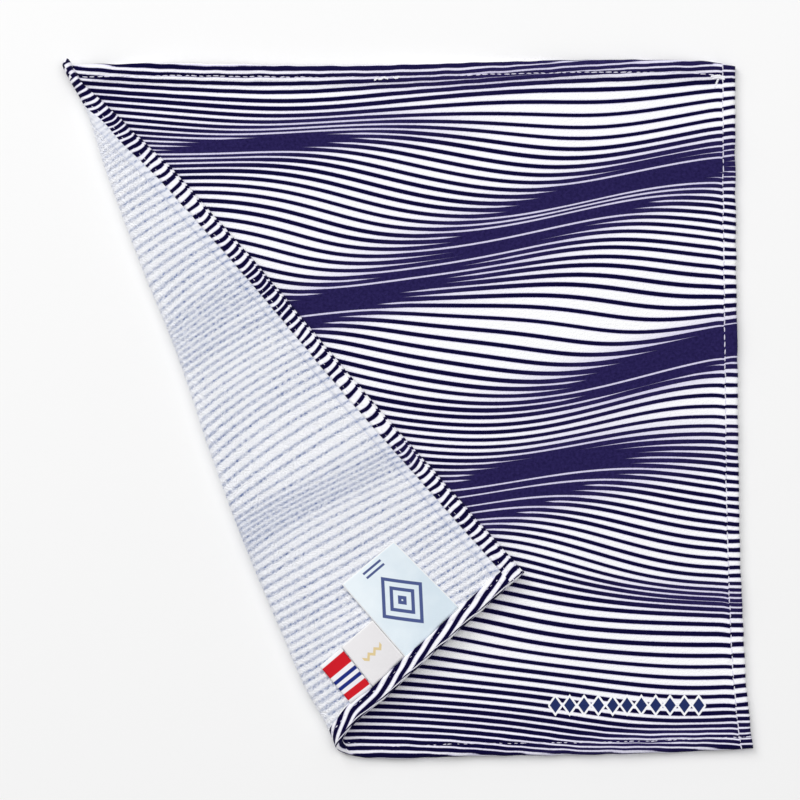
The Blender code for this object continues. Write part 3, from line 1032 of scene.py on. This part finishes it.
def looped_material(stripes):
    """The looped back, where the stripes strike through pale and broken."""
    material, tree, shader, x, y = cloth_material("looped_back", LOOP_FINISH)
    loops = noise_at(tree, vector_of(x / LOOP_WIDTH_MM, y / LOOP_LENGTH_MM))
    clouds = noise_at(tree, vector_of(x, y), LOOP_CLOUD_MM)
    distance, half_width, crowding = worked_out(stripes, x, y)
    breaks = noise_at(tree, vector_of(x / STRIKE_BREAK_MM, y), STRIKE_GRAIN_MM)
    soaked = ((breaks - STRIKE_DRY) * STRIKE_CONTRAST).clamped() + STRIKE_LEAST
    strike = ((half_width - distance) / STRIKE_EDGE_MM + STRIKE_OFFSET).clamped()
    # Painted highlight: the strike-through fades on the fold's rounded edge, so that the edge looks lit.
    inside = ((beyond_fold_mm(x, y) - FOLD_HIGHLIGHT_START_MM) / FOLD_HIGHLIGHT_MM).clamped()
    faint = ((y - FAINT_START_MM) / FAINT_REACH_MM).clamped() * FAINT_SHARE
    strength = (inside * (1 - STRIKE_IN_FOLD_HIGHLIGHT) + STRIKE_IN_FOLD_HIGHLIGHT) * (1 - faint) * STRIKE_STRENGTH
    # Painted shade darkens the groove where the loops begin. The plain border beside it takes its own darker
    # tone.
    border = Wire(add_node(tree, "ShaderNodeAttribute", attribute_name=GROOVE_SHADE_AND_BORDER_TONE).outputs["Fac"])
    base = blend_of(tree, border * BORDER_STRENGTH, blend_of(tree, clouds, LOOP_LOW, LOOP_HIGH), BAND_AND_SHADE_BLUE)
    washed = blend_of(tree, strike * soaked * strength, base, STRIKE_BLUE)
    feed(shader.inputs["Base Color"], blend_of(tree, crowding * BAND_STRENGTH, washed, BAND_AND_SHADE_BLUE))
    raise_surface(shader, loops * LOOP_BUMP_MM + clouds * SOFT_BUMP_MM)
    return material


def thread_material(name, low, high):
    """Sewing thread, with its twist seen as a fine shade along each stitch."""
    material, tree, shader = add_material(name, THREAD_FINISH)
    place = add_node(tree, "ShaderNodeTexCoord").outputs["Object"]
    twist = noise_at(tree, place, THREAD_TWIST_MM * MM)
    feed(shader.inputs["Base Color"], blend_of(tree, twist, low, high))
    raise_surface(shader, twist * THREAD_BUMP_MM)
    return material


def ribbon_shine(tree, x, y):
    """The fine cross ribs of woven ribbon, 0 in a rib's valley and 1 on its back."""
    rib = (y * (2 * math.pi / RIBBON_RIB_MM)).through("SINE") * 0.5 + 0.5
    return rib * noise_at(tree, vector_of(x / RIBBON_RIB_MM, y / RIBBON_RIB_MM), RIBBON_GRAIN_RIBS)


def label_size(label):
    """The width and length of a label's visible part."""
    hem_left, hem_right, far_left, _ = label.corners
    return np.linalg.norm(hem_right - hem_left), np.linalg.norm(far_left - hem_left)


def selvage_at(label, x, y):
    """1 along a ribbon's two selvages and its far end, 0 elsewhere."""
    width, length = label_size(label)
    inward = (width / MM / 2 - x.through("ABSOLUTE")).through("MINIMUM", length / MM - y)
    return ((SELVAGE_MM - inward) / RIBBON_EDGE_MM + 0.5).clamped()


def ribbon_material(ribbon, label):
    """Woven satin ribbon, with a painted sheen that pales it towards its far end and left side, painted light
    and shade on its fine ribs, and the figures woven into it.
    """
    material, tree, shader, x, y = cloth_material(ribbon.name, RIBBON_FINISH)
    rib = ribbon_shine(tree, x, y)
    clouds = noise_at(tree, vector_of(x, y), RIBBON_TONE_MM)
    # Painted sheen: the satin is paler towards its far end and left side and darker by the hem, with random
    # clouds. The ribs are painted lighter on their backs and darker in their valleys.
    sheen_and_clouds = (y - x) / ribbon.paling_mm + (clouds - 0.5) * RIBBON_CLOUD + RIBBON_SHEEN_START
    tone = sheen_and_clouds.clamped() * (1 - RIBBON_RIB_SHARE) + rib * RIBBON_RIB_SHARE
    satin = blend_of(tree, tone, ribbon.shade, ribbon.base)
    finish = blend_of(tree, selvage_at(label, x, y) * SELVAGE_STRENGTH, satin, SELVAGE_WHITE)
    for ink, amount_at in ribbon.figures:
        finish = blend_of(tree, amount_at(x, y).clamped(), finish, ink)
    feed(shader.inputs["Base Color"], finish)
    raise_surface(shader, rib * RIBBON_BUMP_MM)
    return material


def band_at(distance, half_width_mm):
    """1 within this distance of a line's middle and 0 outside it, with a woven edge."""
    return ((half_width_mm - distance.through("ABSOLUTE")) / RIBBON_EDGE_MM + 0.5).clamped()


def nested_lozenges(x, y):
    """Lozenges one inside the other, in the middle of the wide label, and two short bars."""
    size = lozenge_size(x, y - LOZENGE_MIDDLE_MM, LOZENGE_HALF_WIDTH_MM, LOZENGE_HALF_LENGTH_MM)
    rings = [band_at((size - share) * LOZENGE_HALF_WIDTH_MM, LOZENGE_LINE_MM) for share in LOZENGE_SHARES]
    bars = [band_at(y - at, BAR_LINE_MM) * band_at(x, BAR_REACH_MM) for at in BARS_AT_MM]
    return sum(rings[1:] + bars, rings[0])


def gold_zigzag(x, y):
    """A plain zigzag across the cream label."""
    fold = (x / ZIGZAG_LENGTH_MM).through("PINGPONG", 0.5) * ZIGZAG_HEIGHT_MM
    return band_at(y - fold - ZIGZAG_MIDDLE_MM, ZIGZAG_LINE_MM) * band_at(x, ZIGZAG_REACH_MM)


def cross_bar(start_mm, end_mm):
    """A bar across the ribbon between two distances from the hem."""
    middle = (start_mm + end_mm) / 2
    return lambda x, y: band_at(y - middle, (end_mm - start_mm) / 2)


# Each label's ribbon: its colours, the length over which its painted sheen turns it pale, and its figures with
# their colour.
Ribbon = namedtuple("Ribbon", "name base shade paling_mm figures")
RIBBONS = (
    Ribbon("blue_ribbon", SATIN_BLUE, SATIN_BLUE_SHADE, 44.0, [(SATIN_SLATE, nested_lozenges)]),
    Ribbon("cream_ribbon", SATIN_CREAM, SATIN_CREAM_SHADE, 30.0, [(SATIN_GOLD, gold_zigzag)]),
    Ribbon(
        "striped_ribbon",
        SATIN_WHITE,
        SATIN_WHITE_SHADE,
        20.0,
        [(ink, cross_bar(start, end)) for ink, start, end in NARROW_BARS_MM],
    ),
)


def out_of_hem(up):
    """The share of a label's visible length at a share of its whole length, negative inside the hem."""
    return up * (1 + LABEL_TUCK) - LABEL_TUCK


def label_points(label, across, up, depth):
    """Points of a label that lies on the folded layer's back, its far end a little lifted."""
    showing = out_of_hem(up)
    place = between_corners(*label.corners, across, showing)
    curl = label.lift * eased(showing) + label.cup * (2 * across - 1) ** 2 * eased(showing)
    height = flap_back(place)[0] + LABEL_LIE + curl + depth * LABEL_THICKNESS
    return np.concatenate([place, height[..., None]], axis=-1)


def label_sheet(label, material):
    """A woven label: a thin closed sheet, tucked under the hem's turned edge, and the size of its cut."""
    width, length = label_size(label)
    across, up = grid_of(even_lines(0, 1, LABEL_CELL / width), even_lines(0, 1, LABEL_CELL / length))
    layers = [Layer(across, up, label_points(label, across, up, depth)) for depth in (BACK, FRONT)]
    mesh, shares, _ = closed_sheet(label.name, layers)
    flat = np.stack([(shares[..., 0] - 0.5) * width, out_of_hem(shares[..., 1]) * length], axis=-1)
    add_flat_map(mesh, flat)
    return add_piece(label.name, mesh, material), (max(width, LEAST_CUT), length * (1 + LABEL_TUCK))


def laying_tree(name, numbers):
    """A node tree with its named inputs: the geometry, these numbers, a seed and a material."""
    tree = bpy.data.node_groups.new(name, "GeometryNodeTree")
    add_sockets(tree, "Geometry", ["Geometry"])
    add_sockets(tree, "Float", numbers)
    add_sockets(tree, "Int", ["Seed"])
    add_sockets(tree, "Material", ["Material"])
    add_sockets(tree, "Geometry", ["Geometry"], "OUTPUT")
    return tree, add_node(tree, "NodeGroupInput").outputs


def kept_vector(tree, name):
    """The vector that the guide's points keep under this name."""
    kept = add_node(tree, "GeometryNodeInputNamedAttribute", {"Name": name}, data_type="FLOAT_VECTOR")
    return kept.outputs[0]


def laid_grains(tree, given, points, ahead, segments, rings):
    """A rounded grain on every point, lying ahead along its line and flat on the cloth."""
    along = add_node(tree, "FunctionNodeAlignRotationToVector", {"Vector": ahead}, axis="X")
    turning = {"Rotation": along.outputs["Rotation"], "Vector": kept_vector(tree, OUTWARD)}
    flat = add_node(tree, "FunctionNodeAlignRotationToVector", turning, axis="Z", pivot_axis="X")
    bounds = {"Min": -1.0, "Max": 1.0, "Seed": given["Seed"]}
    draw = add_node(tree, "FunctionNodeRandomValue", bounds, data_type="FLOAT")
    chance = Wire(next(socket for socket in draw.outputs if socket.enabled))
    turn = add_node(tree, "ShaderNodeCombineXYZ", {"Z": chance * Wire(given["Turn"])}).outputs["Vector"]
    turning = {"Rotation": flat.outputs["Rotation"], "Rotate By": turn}
    turned = add_node(tree, "FunctionNodeRotateRotation", turning, rotation_space="LOCAL")
    length = Wire(given["Length"]) * (1 + chance * Wire(given["Unevenness"]))
    scale = add_node(tree, "ShaderNodeCombineXYZ", {"X": length, "Y": given["Width"], "Z": given["Height"]})
    grain = add_node(tree, "GeometryNodeMeshUVSphere", {"Segments": segments, "Rings": rings, "Radius": 0.5})
    placing = {
        "Points": points,
        "Instance": grain.outputs["Mesh"],
        "Rotation": turned.outputs["Rotation"],
        "Scale": scale.outputs["Vector"],
    }
    row = add_node(tree, "GeometryNodeInstanceOnPoints", placing).outputs["Instances"]
    return add_node(tree, "GeometryNodeRealizeInstances", {"Geometry": row}).outputs["Geometry"]


def end_tree(tree, given, geometry):
    """Shades the geometry smooth, gives it its material and sends it out."""
    smooth = add_node(tree, "GeometryNodeSetShadeSmooth", {"Geometry": geometry}).outputs["Geometry"]
    named = add_node(tree, "GeometryNodeSetMaterial", {"Geometry": smooth, "Material": given["Material"]})
    add_node(tree, "NodeGroupOutput", {"Geometry": named.outputs["Geometry"]})


def stitch_tree():
    """Lays stitches end to end along a line."""
    tree, given = laying_tree("running_stitch", ("Pitch", "Length", "Width", "Height", "Unevenness", "Turn"))
    line = add_node(tree, "GeometryNodeMeshToCurve", {"Mesh": given["Geometry"]}).outputs["Curve"]
    spacing = {"Curve": line, "Length": given["Pitch"]}
    points = add_node(tree, "GeometryNodeResampleCurve", spacing, mode="LENGTH").outputs["Curve"]
    ahead = add_node(tree, "GeometryNodeInputTangent").outputs["Tangent"]
    end_tree(tree, given, laid_grains(tree, given, points, ahead, STITCH_SEGMENTS, STITCH_RINGS))
    return tree


def pile_tree():
    """Lays a loop of pile on every point, coloured as the cloth is under it."""
    tree, given = laying_tree("short_pile", ("Length", "Width", "Height", "Unevenness", "Turn"))
    ahead = kept_vector(tree, AHEAD)
    loops = laid_grains(tree, given, given["Geometry"], ahead, PILE_SEGMENTS, PILE_RINGS)
    mapping = {"Geometry": loops, "Name": FLAT_MAP, "Value": kept_vector(tree, PLACE)}
    mapped = add_node(tree, "GeometryNodeStoreNamedAttribute", mapping, data_type="FLOAT2", domain="CORNER")
    end_tree(tree, given, mapped.outputs["Geometry"])
    return tree


def guide_mesh(name, points, edges, **vectors):
    """A mesh of bare points, joined by edges if there are any, that keeps these vectors at its points."""
    mesh = bpy.data.meshes.new(name)
    mesh.from_pydata(points.reshape(-1, 3).tolist(), edges, [])
    for vector, values in vectors.items():
        kept = mesh.attributes.new(vector, "FLOAT_VECTOR", "POINT")
        kept.data.foreach_set("vector", values.astype(np.float32).ravel())
    return mesh


def line_edges(points):
    """The edges that join each row of points to a line."""
    numbers = np.arange(points.shape[0] * points.shape[1]).reshape(points.shape[:2])
    return np.stack([numbers[:, :-1], numbers[:, 1:]], axis=-1).reshape(-1, 2).tolist()


def press_flat(mesh):
    """Keeps every point at or above the height on which the cloth lies."""
    points = np.empty(3 * len(mesh.vertices), np.float32)
    mesh.vertices.foreach_get("co", points)
    points[2::3] = np.maximum(points[2::3], 0)
    mesh.vertices.foreach_set("co", points)


def laid_piece(name, tree, guide, material, sizes):
    """What a tree lays on a guide mesh, as a plain mesh."""
    laying = add_piece(name + "_guide", guide)
    modifier = laying.modifiers.new("laying", "NODES")
    modifier.node_group = tree
    identifiers = {item.name: item.identifier for item in tree.interface.items_tree if item.in_out == "INPUT"}
    for size, value in {"Material": material, **sizes}.items():
        modifier[identifiers[size]] = value
    mesh = bpy.data.meshes.new_from_object(laying.evaluated_get(bpy.context.evaluated_depsgraph_get()))
    mesh.name = name
    press_flat(mesh)
    bpy.data.objects.remove(laying)
    return add_piece(name, mesh)


def pile_places():
    """The shares at which loops stand: an uneven grid on the folded-over back, inside hems and borders."""
    chance = np.random.default_rng(PILE_SEED)
    starts = (BORDER + PILE_CLEAR, HEM_WIDTH + PILE_CLEAR)
    lines = [np.array(even_lines(start, SIDE - start, PILE_PITCH)) / SIDE for start in starts]
    places = np.stack(grid_of(*lines), axis=-1).reshape(-1, 2)
    places = places + chance.uniform(-1, 1, places.shape) * PILE_JITTER * PILE_PITCH / SIDE
    along, out = from_fold(uneven_point(places[:, 0], places[:, 1]))
    _, loop_start, loop_length = loop_sizes(along)
    return places[out > loop_start + PILE_START * loop_length].T


def looped_pile(material):
    """The folded-over back's short pile: each loop is a small rounded grain, half sunk in the cloth."""
    across, up = pile_places()
    points = cloth_points(across, up, BACK)
    ahead = cloth_points(across, up + PILE_STEP / SIDE, BACK) - points
    place = np.concatenate([flat_point(across, up), np.zeros((len(across), 1))], axis=-1)
    vectors = {OUTWARD: -cloth_normal(across, up), AHEAD: ahead, PLACE: place}
    guide = guide_mesh("pile_guide", points, [], **vectors)
    return laid_piece("looped_pile", pile_tree(), guide, material, PILE_LOOP)


def seam_lines(depth, raised):
    """The four seams, each from edge to edge, and the direction out of the cloth at each of their points."""
    run = np.array(even_lines(SEAM_END / SIDE, 1 - SEAM_END / SIDE, SEAM_CELL / SIDE))
    near = np.full(len(run), SEAM_INSET / SIDE)
    across = np.stack([run, run, near, 1 - near])
    up = np.stack([near, 1 - near, run, run])
    outward = cloth_normal(across, up) * (1 if depth == FRONT else -1)
    height = (raised - SEAM_SUNK * depth)[:, None, None]
    return cloth_points(across, up, depth) + outward * height, outward


def thread_end_lines():
    """The sewn-off ends of thread on the printed face, each a short line of points from its corners."""
    steps = np.linspace(0, 1, THREAD_END_POINTS)
    insets = []
    for corners in THREAD_ENDS:
        shares = np.linspace(0, 1, len(corners))
        insets.append([np.interp(steps, shares, [corner[axis] for corner in corners]) for axis in (0, 1)])
    insets = np.array(insets) * MM
    across = 1 - insets[:, 0] / SIDE
    up = 1 - insets[:, 1] / SIDE
    outward = cloth_normal(across, up)
    return cloth_points(across, up, FRONT) + outward * THREAD_END_RAISED, outward


def sewn_line(name, tree, points, outward, thread, sizes):
    """Rows of stitches along their lines."""
    guide = guide_mesh(name + "_guide", points, line_edges(points), **{OUTWARD: outward})
    return laid_piece(name, tree, guide, thread, {**STITCH, **sizes})


def hem_seams(thread, end_thread):
    """The hem's stitching, seen on the printed face and on the looped back, and the ends of its thread."""
    tree = stitch_tree()
    seams = []
    for row in SEAMS:
        points, outward = seam_lines(row.depth, row.raised)
        seams.append(sewn_line(row.name, tree, points, outward, thread, row.sizes))
    return [*seams, sewn_line("thread_ends", tree, *thread_end_lines(), end_thread, THREAD_END)]


def add_floor():
    """A plain pale floor."""
    half = FLOOR_SIDE / 2
    mesh = bpy.data.meshes.new("floor")
    corners = [(x, y, FLOOR_HEIGHT) for x, y in ((-half, -half), (half, -half), (half, half), (-half, half))]
    mesh.from_pydata(corners, [], [(0, 1, 2, 3)])
    paper, _, _ = add_material("pale_floor", FLOOR_FINISH)
    add_piece("floor", mesh, paper)


def stand_at(name, place, data):
    """A light or a camera put at this place."""
    stand = bpy.data.objects.new(name, data)
    stand.location = place
    bpy.context.scene.collection.objects.link(stand)
    return stand


def add_lights():
    """Soft light from the upper left and from above, and an even sky."""
    for light in LIGHTS:
        lamp = bpy.data.lights.new(light.name, "AREA")
        lamp.shape = "DISK"
        lamp.size = light.size
        lamp.energy = light.watts
        stand = stand_at(light.name, light.place, lamp)
        stand.rotation_euler = (-Vector(light.place)).to_track_quat("-Z", "Y").to_euler()
    world = bpy.data.worlds.new("studio")
    world.use_nodes = True
    world.node_tree.nodes["Background"].inputs["Color"].default_value = SKY
    world.node_tree.nodes["Background"].inputs["Strength"].default_value = SKY_STRENGTH
    bpy.context.scene.world = world


def add_camera(centre):
    """A camera that looks straight down on this place."""
    camera = bpy.data.cameras.new("camera")
    camera.sensor_width = SENSOR_WIDTH
    camera.lens = SENSOR_WIDTH * CAMERA_HEIGHT / VIEW_WIDTH
    bpy.context.scene.camera = stand_at("camera", (*centre, CAMERA_HEIGHT), camera)
    bpy.context.scene.view_settings.view_transform = "Standard"


def offset_into_frame(piece):
    """What moves the cloth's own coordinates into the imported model's frame."""
    low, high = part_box("towel")
    own = np.array([vertex.co for vertex in piece.data.vertices])
    middle = (own.min(axis=0) + own.max(axis=0)) / 2
    return Vector(((low[0] + high[0]) / 2 - middle[0], (low[1] + high[1]) / 2 - middle[1], 0.0))


def main():
    """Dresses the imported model, and sets it on the floor in front of the camera."""
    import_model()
    stripes = stripes_group()
    looped = looped_material(stripes)
    cloth = towel_cloth(printed_material(stripes), looped)
    pile = looped_pile(looped)
    offset = offset_into_frame(cloth)
    white_thread = thread_material("white_thread", THREAD_SHADE, THREAD_WHITE)
    seams = hem_seams(white_thread, thread_material("end_thread", END_SHADE, END_WHITE))
    ribbons = [ribbon_material(ribbon, label) for ribbon, label in zip(RIBBONS, LABELS)]
    labels = [label_sheet(label, ribbon) for label, ribbon in zip(LABELS, ribbons)]
    for piece in (cloth, pile, *seams, *(piece for piece, _ in labels)):
        piece.data.transform(Matrix.Translation(offset))
        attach(piece, "root")
    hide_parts("towel")
    for label, (piece, flat) in zip(LABELS, labels):
        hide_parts(label.node)
    add_floor()
    add_lights()
    add_camera(VIEW_CENTRE + np.array(offset)[:2])


main()
